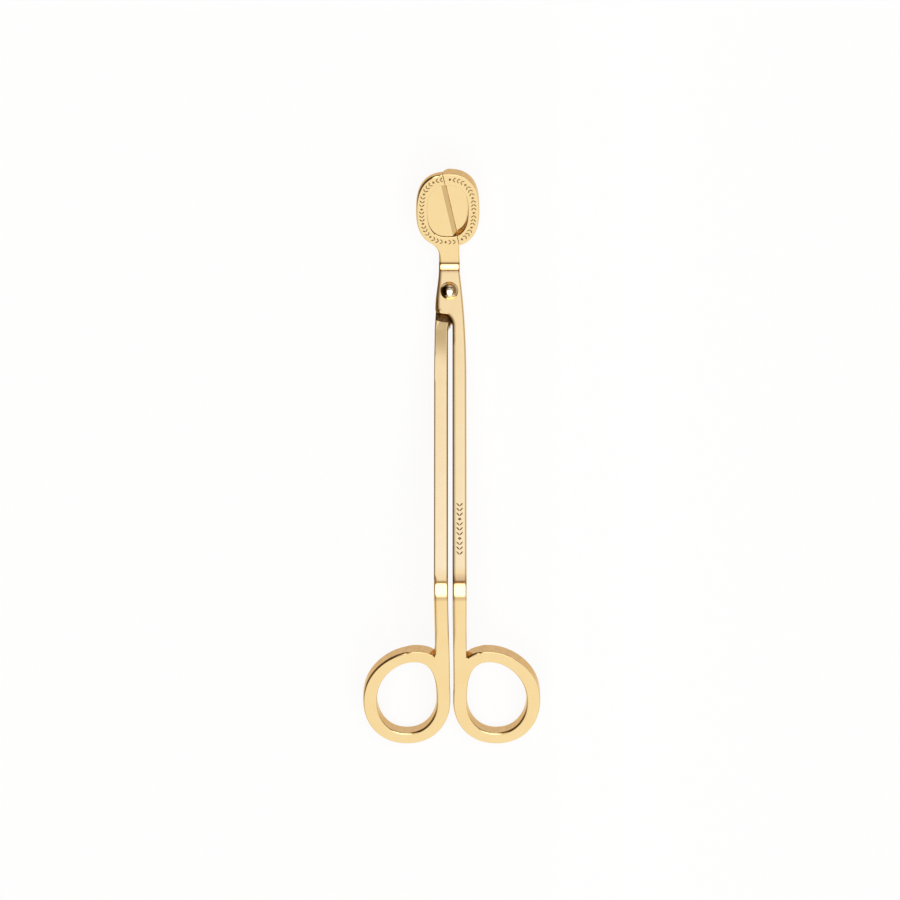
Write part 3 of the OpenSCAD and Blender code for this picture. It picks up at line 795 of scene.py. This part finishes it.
def arm_metals(side):
    """Finishes of one arm in the order of their numbers. The tints along y are painted light and
    shade: they list places along y in mm, the ring bend at about -43 to -37 and the neck bend at
    58 to 61, with the tint at each, and paint the paler shafts, a pale band and dark lines at the
    bends. most, dusk and dim are how pale the shaft is painted, and how brown it is painted next
    to the ring bend."""
    c = colours()
    upper = side == "upper"
    most, dusk, dim = (0.86, 0.11, 0.09) if upper else (0.98, 0.50, 0.38)
    painted_light_by_y = [(-60, 0.5), (-43.5, 0.5), (-43.0, 0.12), (-42.5, 0.12), (-42.1, 0.5), (-39.5, 0.5),
            (-37.8, dim), (-36.8, dusk), (-33, most), (0, 0.72), (45, 0.5), (57.7, 0.5),
            (58.3, 0.11), (59.2, 0.07), (59.6, 0.85), (60.1, 0.85), (60.4, 0.0), (61.0, 0.0),
            (61.4, 0.5), (70, 0.5)]
    recess = (c.recess_shade_dark, c.recess_shade_light, 0.25) if upper else (c.tray_shade_dark, c.tray_shade_light, 0.6)
    finishes = (("lap", c.lap_shade_dark, c.lap_shade_light, 0.34),
                ("engraving", c.engraved, c.engraved_light, 0.3),
                ("recess", *recess), ("slit", c.slit_shade_dark, c.slit_shade_light, 0.6))
    return [plating_and_painted_shade(f"gold_{side}_arm", c.gold, c.gold_warm, c.tan_gold_and_wall_shade, c.gold_painted_shade,
                   c.pale_gold_and_painted_light, [(y * MM, v) for y, v in painted_light_by_y], (1.0, 0.03, 0.03)),
            *(ground_brass(f"{kind}_{side}_arm", *rest) for kind, *rest in finishes)]


# ---------------------------------------------------------------- pieces

# Turn of a leaf and how far it is off the middle line, and the row of marks down the shaft
LEAF_TURN, LEAF_OFF = math.radians(42), 0.42 * MM
ROW_START, ROW_COUNT, ROW_SCALE = -69.5 * MM, 11, 1.2


def sizes():
    return bpy.context.scene.trimmer_sizes


def colours():
    return bpy.context.scene.trimmer_colours


def upper_loops(b):
    """Outer line and finger hole of the upper arm's blank."""
    z = b.z
    inner_x = b.shaft_mid_x + z.shaft_gap / 2
    s = b.shaft_stops(-14 * MM)
    inner = b.shaft_inner(s, -1)
    outer = np.minimum(inner + b.shaft_width(s), b.plate_right(s))
    shaft = np.concatenate([np.column_stack([outer, s]), np.column_stack([inner, s])[::-1]])
    hollow_w, hollow_h = inner_x - b.heel_x - 2.4 * MM, 4 * MM
    corner_r = 1.9 * MM
    a = np.radians(np.arange(0, 91, 5))
    hollow = np.column_stack([inner_x - hollow_w * (1 - np.sin(a)),
                              b.heel_s - 0.1 * MM - hollow_h * (1 - np.cos(a))])
    corner = np.column_stack([b.heel_x + corner_r * (1 - np.cos(a)),
                              b.heel_s + corner_r * (1 - np.sin(a))])
    up = np.arange(-5.4 * MM, b.neck_top_s, 0.5 * MM)
    left = np.column_stack([b.plate_left(up) - b.flare(up), up])
    low = -16 * MM
    right_s = np.arange(low, b.neck_top_s, 0.5 * MM)
    right = np.column_stack([b.plate_right(right_s)
                             - 0.15 * MM * grow(right_s, b.neck_end_s, 2 * MM), right_s])
    plate = np.concatenate([right, left[::-1], corner, hollow, [[inner_x, low]]])
    ring, hole = b.ring_loops(-1)
    return outline([ring, shaft, plate, b.head_egg(200, 0, 0)], [hole])


def lower_loops(b):
    """Outer line and finger hole of the lower arm's blank, without its half of the head."""
    z = b.z
    s = b.shaft_stops(-12.6 * MM)
    inner = b.shaft_inner(s, 1)
    outer = inner - b.shaft_width(s) + ease(s, -26 * MM, -14 * MM, 0, 0.15 * MM)
    right_x, left_x = inner[-1], outer[-1]
    shaft = np.concatenate([np.column_stack([inner, s]), np.column_stack([outer, s])[::-1]])
    toe = np.array([(0.02, -12.6), (0.1, -11.9), (0.35, -11.4), (0.75, -11), (0.9, -10.2),
                    (1.5, -9.6), (2.4, -9), (3.4, -8), (4.1, -6.6)]) * MM + [right_x, 0]
    up = np.arange(-5 * MM, b.neck_top_s, 0.5 * MM)
    right = np.column_stack([b.plate_right(up) - 0.2 * MM, up])
    left = np.column_stack([np.maximum(left_x, b.plate_left(up) + 0.2 * MM), up])
    tang_s = b.neck_top_s + 6 * MM
    tang_x = b.split_x - math.tan(z.split) * (tang_s - b.head_s) - 3.5 * MM
    tang = [(right[-1, 0], tang_s), (tang_x, tang_s)]
    plate = np.concatenate([[[left_x, TOE_LOW], [right_x, TOE_LOW]], toe, right, tang,
                            left[::-1]])
    ring, hole = b.ring_loops(1)
    return outline([ring, shaft, plate], [hole])


def split_box(b, x0, x1, h0, h1):
    """Box along the slit, from x0 to x1 across it."""
    return box(b.on_split([(x0, -ALONG), (x1, -ALONG), (x1, ALONG), (x0, ALONG)]), h0, h1)


def lip_corner(b):
    """What the round tip of the lower blade leaves of its square corner."""
    z = b.z
    tip = z.head_rise - 0.1 * MM - z.lip_r
    a = np.linspace(math.pi, math.pi / 2, 24)
    arc = np.column_stack([z.lip_r * (1 + np.cos(a)) - z.blade_overlap,
                           tip + z.lip_r * np.sin(a)])
    far = -z.blade_overlap - MM
    return np.concatenate([[(far, tip)], arc, [(arc[-1, 0], tip + 2 * z.lip_r),
                                               (far, tip + 2 * z.lip_r)]])


def recess_tool(b, floor_h):
    """Solid that sinks the recess to a height and rounds the rim above it. The recess is a little
    longer towards the neck, and its wall has a line where its painted shadow ends."""
    rim, longer, above = 0.14 * MM, 0.3 * MM, 6 * MM
    wall = b.half_t - rim
    dark = max(b.half_t - b.rim_shadow, floor_h + 0.1 * MM)
    steps = [(0, floor_h), (0, dark), (0, wall)]
    steps += [(rim * (1 - math.cos(a)), wall + rim * math.sin(a))
              for a in np.radians((25, 50, 75))]
    steps += [(rim, b.half_t + 0.01 * MM), (rim, above)]
    layers = []
    for wider, h in steps:
        loop = b.head_egg(160, b.z.border_w - wider, b.z.border_w + longer - wider)
        loop[:, 1] -= 0.35 * MM * grow(b.head_s - loop[:, 1], 0, 4 * MM)
        layers.append([(loop, np.full(len(loop), h))])
    return loft("tool", layers)


def tilted_box(b, angle, x0, x1, h0, h1, at_h):
    """Box along the slit, turned by an angle about the slit's line at height at_h."""
    tool = box([(x0, -ALONG), (x1, -ALONG), (x1, ALONG), (x0, ALONG)], h0, h1)
    tool.data.transform(Matrix.Rotation(-angle, 4, "Y"))
    tool.data.transform(Matrix.Translation((b.split_x, b.head_s, at_h))
                        @ Matrix.Rotation(b.z.split, 4, "Z"))
    return tool


def leaf(long, wide, turn, off):
    """Almond outline of one engraved leaf, turned and moved off the middle line."""
    t = np.linspace(0, math.pi, 8)
    half = np.column_stack([-np.cos(t) * long / 2, np.sin(t) * wide / 2])
    points = np.concatenate([half, (half * (1, -1))[-2:0:-1]])
    c, s = math.cos(turn), math.sin(turn)
    return points @ np.array([[c, s], [-s, c]]) + (0, off)


def leaf_pair(b, i):
    """Two leaves that point along the band; every fourth place has a diamond instead."""
    z = b.z
    if i % 4 == 3:
        return [np.array([(0.4, 0), (0, 0.55), (-0.4, 0), (0, -0.55)]) * MM]
    return [leaf(z.leaf_len, z.leaf_w, side * LEAF_TURN, side * LEAF_OFF) for side in (-1, 1)]


def engraving(b):
    """Plain leaf ornament: a band along the middle of the head's border, clear of the slit, and
    a short row of larger marks down the right shaft."""
    z = b.z
    line = b.head_egg(720, z.border_w / 2, z.border_w / 2)
    step = np.linalg.norm(np.roll(line, -1, axis=0) - line, axis=1)
    along = np.concatenate([[0], np.cumsum(step)[:-1]])
    count = 4 * int(round(step.sum() / z.mark_pitch / 4))
    out = outward(line)
    loops = []
    for i in range(count):
        k = int(np.searchsorted(along, step.sum() * (i + 0.5) / count)) % len(line)
        across = (line[k] - (b.split_x, b.head_s)) @ (math.cos(z.split), math.sin(z.split))
        if abs(across) < 0.65 * z.leaf_len:
            continue
        tangent = np.array([-out[k, 1], out[k, 0]])
        for p in leaf_pair(b, i):
            loops.append(line[k] - p[:, :1] * tangent + p[:, 1:] * out[k])
    middle = b.shaft_mid_x + (z.shaft_gap + z.shaft_w) / 2
    for i in range(ROW_COUNT):
        for p in leaf_pair(b, i):
            loops.append(ROW_SCALE * p[:, ::-1]
                         + (middle, ROW_START - i * ROW_SCALE * z.mark_pitch))
    return slab("marks", [p if area([Vector(q) for q in p]) > 0 else p[::-1] for p in loops],
                b.half_t - z.mark_depth, b.half_t + MM)


def make_upper(b):
    """The upper arm's blank with its lap, slit, recess, bevel and engraving, folded."""
    z = b.z
    arm = slab("upper_arm_plated", upper_loops(b), -b.half_t, b.half_t, b.edge_at, b.roll_at)
    beyond = np.array([(-BEYOND, 0), (BEYOND, 0), (BEYOND, BEYOND), (-BEYOND, BEYOND)])
    cut(arm, slab("tool", outline([disc(z.lap_r), beyond]), -PAST, b.lap_h))
    cut(arm, split_box(b, 0, ASIDE, -PAST, PAST))
    cut(arm, split_box(b, -z.split_gap / 2, ASIDE, b.half_t / 2, PAST))
    cut(arm, recess_tool(b, b.half_t - z.blade_recess))
    edge_h = b.lap_h + z.blade_land
    bevel = math.atan(z.bevel_w / (b.half_t - z.blade_recess - edge_h))
    wedge = tilted_box(b, bevel, 0, 2 * z.stock_t, -z.stock_t, 2 * z.stock_t, edge_h)
    cut(wedge, recess_tool(b, -6 * MM), "INTERSECT")
    cut(arm, wedge)
    cut(arm, engraving(b))
    fold_mesh(arm, b)
    return arm


def roll_shaft(arm, b):
    """Lets the left shaft's top face roll gently to the left towards the lap joint."""
    z = b.z
    middle = b.shaft_mid_x - (z.shaft_gap + z.shaft_w) / 2
    for v in arm.data.vertices:
        if v.co.z > 0 and TILT_LOW < v.co.y < TILT_TOP:
            lean = float(ease(v.co.y, -27 * MM, -15 * MM, 0.0, math.radians(4.5)))
            v.co.z += math.tan(lean) * (v.co.x - middle)


def make_lower(b):
    """The lower arm's blank with its lap, joined to the tray half of the head, folded."""
    z = b.z
    arm = slab("lower_arm_plated", lower_loops(b), -b.half_t, b.half_t, b.edge_at, b.roll_at)
    cut(arm, slab("tool", [disc(z.lap_r)], -b.lap_h, PAST))
    relief = -b.lap_h - 0.55 * MM
    cut(arm, wall_prism([(0, -b.lap_h), (b.neck_s - 1.2 * MM, -b.lap_h),
                         (b.neck_s - 0.6 * MM, relief), (BEYOND, relief), (BEYOND, PAST),
                         (0, PAST)], -BEYOND, BEYOND))
    tray = slab("tray", [b.head_egg(200, 0, 0)], -b.half_t, b.half_t, b.edge_at, b.roll_at)
    cut(tray, split_box(b, -ASIDE, -z.blade_overlap, -PAST, PAST))
    cut(tray, slab("tool", outline([b.on_split(lip_corner(b))]), -PAST, 0))
    cut(tray, split_box(b, -ASIDE, z.split_gap / 2, 0, PAST))
    cut(tray, tilted_box(b, math.radians(12), -ASIDE, 0, 0, 6 * MM, 0))
    cut(tray, recess_tool(b, 0))
    cut(tray, engraving(b))
    cut(arm, tray, "UNION")
    roll_shaft(arm, b)
    fold_mesh(arm, b)
    return arm


class TRIMMER_OT_upper_arm(bpy.types.Operator):
    """Makes the upper arm: blade half of the head, neck, right shaft and right finger ring"""

    bl_idname = "trimmer.upper_arm"
    bl_label = "Upper Arm"

    def execute(self, context):
        arm = make_upper(Blank(sizes(), -1))
        finish_metal(arm, arm_metals("upper"), "upper", "upper_arm")
        return {"FINISHED"}


class TRIMMER_OT_lower_arm(bpy.types.Operator):
    """Makes the lower arm: tray half of the head, neck, left shaft and left finger ring"""

    bl_idname = "trimmer.lower_arm"
    bl_label = "Lower Arm"

    def execute(self, context):
        arm = make_lower(Blank(sizes(), 1))
        finish_metal(arm, arm_metals("lower"), "lower", "lower_arm")
        return {"FINISHED"}


def turned_piece(name, profile, count=96):
    """Solid turned from a closed profile of (radius, height) points that starts and ends on
    the axis."""
    bm = bmesh.new()
    turns = np.linspace(0, 2 * math.pi, count, endpoint=False)
    rings = [[bm.verts.new((r * math.cos(a), r * math.sin(a), h))
              for a in (turns if r > 1e-9 else turns[:1])] for r, h in profile]
    for low, high in zip(rings, rings[1:]):
        for i in range(count):
            k = (i + 1) % count
            quad = [low[i % len(low)], low[k % len(low)], high[k % len(high)],
                    high[i % len(high)]]
            bm.faces.new(list(dict.fromkeys(quad)))
    bmesh.ops.recalc_face_normals(bm, faces=bm.faces[:])
    return as_object(name, bm)


def seat(obj, b):
    """Paints shade on the domed top of a piece drawn about the pivot, shafts level: darker round
    its brightest spot, a dark arc above that spot and darkest on the left; then puts the piece at
    rest. The places of the painted shade are in shares of the cap's radius."""
    centre = np.array([f.center for f in obj.data.polygons])
    x, y = centre[:, 0] / (b.z.cap_d / 2), centre[:, 1] / (b.z.cap_d / 2)
    away = np.maximum(abs(x - 0.03) / 0.40, abs(y + 0.30) / 0.30)
    wall = 0.95 * grow(away, 0.9, 0.2) * grow(y, -0.72, 0.1)
    left = grow(-x, 0.25, 0.12) * grow(-y, -0.34, 0.16)
    left *= (y > -0.75) | (np.hypot(x, y) > 0.9)
    painted_arc = (abs(y - 0.02) < 0.07) & (abs(x - 0.02) < 0.34)
    on_top = centre[:, 2] > 0
    # Painted shade: wall darkens the cap away from its brightest spot, and shade darkens its left
    # and the arc above that spot
    for name, value in (("wall", wall), ("shade", np.maximum(left, 0.9 * painted_arc))):
        layer = obj.data.attributes.new(name, "FLOAT", "FACE")
        layer.data.foreach_set("value", (value * on_top).astype(np.float32))
    flat = np.array([v.co for v in obj.data.vertices])
    obj.data.vertices.foreach_set("co", b.at_rest(flat).ravel())
    obj.data.update()


def make_cap(b):
    """Domed cap, with the barrel below it that both arms turn on."""
    z = b.z
    r, side_h, soft = z.cap_d / 2, 0.2 * MM, 0.12 * MM
    barrel_r, barrel_low, hole_r = 1.6 * MM, 0.1 * MM - b.half_t, 0.92 * MM
    base = b.half_t + 0.03 * MM
    rise = z.cap_h - side_h
    profile = [(0, barrel_low), (barrel_r, barrel_low), (barrel_r, base),
               (r - soft, base), (r, base + soft)]
    profile += [(r * math.sin(a), base + side_h + rise * math.cos(a))
                for a in np.linspace(math.pi / 2, 0, 40)]
    cap = turned_piece("pivot_cap_plated", profile)
    cut(cap, slab("tool", [disc(hole_r, 48)], -b.half_t - MM, b.half_t - 0.6 * MM))
    seat(cap, b)
    return cap


def make_screw(b):
    """Screw from below, with a slot across its head and a shank in the barrel."""
    z = b.z
    r, low, shank_r = z.screw_head_d / 2, -b.half_t - z.screw_head_h, 0.9 * MM
    tip, slot, across = b.half_t - 1.0 * MM, 0.35 * MM, 6 * MM
    profile = [(0, low), (r - 0.3 * MM, low), (r - 0.1 * MM, low + 0.08 * MM),
               (r, low + 0.3 * MM), (r, -b.half_t), (shank_r, -b.half_t), (shank_r, tip),
               (0, tip)]
    screw = turned_piece("pivot_screw_plated", profile)
    cut(screw, box([(-across, -slot), (across, -slot), (across, slot), (-across, slot)],
                   low - MM, low + 0.4 * MM))
    seat(screw, b)
    return screw


class TRIMMER_OT_pivot(bpy.types.Operator):
    """Makes the domed cap with its barrel and the slotted screw below it"""

    bl_idname = "trimmer.pivot"
    bl_label = "Pivot"

    def execute(self, context):
        b, c = Blank(sizes()), colours()
        plating = plating_and_painted_shade("gold_cap", c.cap_light, c.pale_gold_and_painted_light, c.cap_side_shade, c.cap_deep, gloss=0.06)
        finish_metal(make_cap(b), [plating], "lower", "pivot_cap")
        plating = plating_and_painted_shade("gold_screw", c.gold_warm, c.tan_gold_and_wall_shade, c.tan_gold_and_wall_shade, c.gold_painted_shade,
                         gloss=0.22)
        finish_metal(make_screw(b), [plating], "lower", "pivot_screw")
        return {"FINISHED"}


# ---------------------------------------------------------------- studio

# Strength of the overhead window, and how much of the floor glows to the camera and in mirrors
WINDOW_LIGHT, FLOOR_GLOW = 2.6, 0.88
# Where the camera hangs, looking straight down, and its lens in mm
CAMERA_AT, CAMERA_LENS = (-0.00053, 0.00245, 1.1), 140.36
# The floor lies just under the trimmer, and steps down on the right: along x, and by how much
FLOOR_REACH, FLOOR_Z = 3.0, -0.0001
STEP_FROM, STEP_TO, STEP_DROP = 32 * MM, 60 * MM, 18 * MM


def sky(world):
    """Light tent over the trimmer: a large bright window overhead in a thin frame, pale
    walls front and back, a dark side on the left and a dim one on the right."""
    p = Paint(world)
    x, y, z = p.split(p.place("Generated"))
    up = p.math("MAXIMUM", z, 0.02)

    def inside(*sides):
        """1 in the rounded window with a middle and half width along x, then along y."""
        away = [p.math("DIVIDE", p.math("SUBTRACT", p.math("DIVIDE", along, up), middle), half)
                for along, (middle, half) in zip((x, y), sides)]
        return p.math("LESS_THAN", p.math("ADD", *(p.math("POWER", p.math("ABSOLUTE", a), 4.0)
                                                   for a in away)), 1.0)

    def side_walls(stops, tint):
        """Walls that go from warm brown where they are dim to the tint where they are bright."""
        return p.ramp(x, [(at, (v * tint[0], v ** 1.2 * tint[1], v ** 1.5 * tint[2]))
                          for at, v in stops])

    near = side_walls([(-1.0, 0.28), (-0.62, 0.32), (-0.42, 0.42), (-0.25, 0.64), (-0.08, 1.02),
                       (0.25, 1.05), (0.45, 0.85), (0.75, 0.72), (1.0, 0.65)], (1.0, 1.0, 1.0))
    far = side_walls([(-1.0, 0.20), (-0.42, 0.20), (-0.28, 0.30), (-0.17, 0.55), (-0.05, 1.0),
                      (0.18, 1.02), (0.34, 0.75), (0.60, 0.50), (1.0, 0.42)], (1.01, 1.04, 1.21))
    walls = p.mixed(p.ranged(y, -0.35, -0.10, 0.0, 1.0), near, far)
    frame_tone = p.mixed(p.math("GREATER_THAN", y, 0.0), (0.03, 0.02, 0.01), (0.40, 0.30, 0.20))
    pane = inside((0.10, 0.52), (-0.3105, 0.5605))
    framed = inside((0.10, 0.78), (-0.2055, 0.6655))
    level = p.mixed(pane, p.mixed(framed, walls, frame_tone), (1.0, 1.0, 1.0))
    tent = p.add("Background")
    p.link(level, tent.inputs["Color"])
    p.link(p.ranged(pane, 0.0, 1.0, 1.0, WINDOW_LIGHT), tent.inputs["Strength"])
    plain = p.add("Background")
    plain.inputs["Color"].default_value = (1, 1, 1, 1)
    p.surface(p.blend(p.seen("Camera"), tent, plain), "OutputWorld")


def floor_finish(colour_value):
    """Plain pale floor that stays white for the camera and keeps the object's shadow."""
    material = bpy.data.materials.new("studio_floor")
    p = Paint(material)
    matt, glow = p.add("BsdfDiffuse"), p.add("Emission")
    for shader in (matt, glow):
        shader.inputs["Color"].default_value = (*colour_value, 1)
    direct = p.math("MAXIMUM", p.math("MAXIMUM", p.seen("Camera"), p.seen("Glossy")),
                    p.seen("Transmission"))
    p.surface(p.blend(p.ranged(direct, 0.0, 1.0, 0.0, FLOOR_GLOW), matt, glow))
    return material


class TRIMMER_OT_studio(bpy.types.Operator):
    """Sets up the pale floor, the sky and the camera above the trimmer. The floor steps down
    on the right, where the ring of the opened upper arm swings below the table"""

    bl_idname = "trimmer.studio"
    bl_label = "Studio"

    def execute(self, context):
        scene = context.scene
        bm = bmesh.new()
        stops = [-FLOOR_REACH, *np.linspace(STEP_FROM, STEP_TO, 15), FLOOR_REACH]
        rows = [[bm.verts.new((x, y, FLOOR_Z - ease(x, STEP_FROM, STEP_TO, 0.0, STEP_DROP)))
                 for y in (-FLOOR_REACH, FLOOR_REACH)] for x in stops]
        for (a, b), (c, d) in zip(rows, rows[1:]):
            bm.faces.new((a, c, d, b))
        floor = as_object("studio_floor", bm)
        floor.data.materials.append(floor_finish(colours().floor))
        scene.world = scene.world or bpy.data.worlds.new("studio")
        sky(scene.world)
        camera = bpy.data.objects.new("camera", bpy.data.cameras.new("camera"))
        camera.data.sensor_width = 36.0
        camera.data.lens = CAMERA_LENS
        camera.data.clip_end = 10.0
        camera.location = CAMERA_AT
        scene.collection.objects.link(camera)
        scene.camera = camera
        scene.view_settings.view_transform = "Standard"
        return {"FINISHED"}


class TRIMMER_PT_panel(bpy.types.Panel):
    """Lists the steps, the sizes and the colours"""

    bl_label = "Wick Trimmer"
    bl_idname = "TRIMMER_PT_panel"
    bl_space_type = "VIEW_3D"
    bl_region_type = "UI"
    bl_category = "Wick Trimmer"

    def draw(self, context):
        layout = self.layout
        for step in STEPS:
            layout.operator(step.bl_idname)
        for group in (context.scene.trimmer_sizes, context.scene.trimmer_colours):
            rows = layout.box()
            for key in group.__annotations__:
                rows.prop(group, key)


STEPS = (TRIMMER_OT_upper_arm, TRIMMER_OT_lower_arm, TRIMMER_OT_pivot, TRIMMER_OT_studio)
CLASSES = (TrimmerSizes, TrimmerColours, *STEPS, TRIMMER_PT_panel)


def register():
    for cls in CLASSES:
        bpy.utils.register_class(cls)
    bpy.types.Scene.trimmer_sizes = PointerProperty(type=TrimmerSizes)
    bpy.types.Scene.trimmer_colours = PointerProperty(type=TrimmerColours)


def unregister():
    del bpy.types.Scene.trimmer_colours
    del bpy.types.Scene.trimmer_sizes
    for cls in reversed(CLASSES):
        bpy.utils.unregister_class(cls)


def main():
    """Makes every piece and the studio."""
    register()
    bpy.ops.trimmer.upper_arm()
    bpy.ops.trimmer.lower_arm()
    bpy.ops.trimmer.pivot()
    bpy.ops.trimmer.studio()


if __name__ == "__main__":
    main()
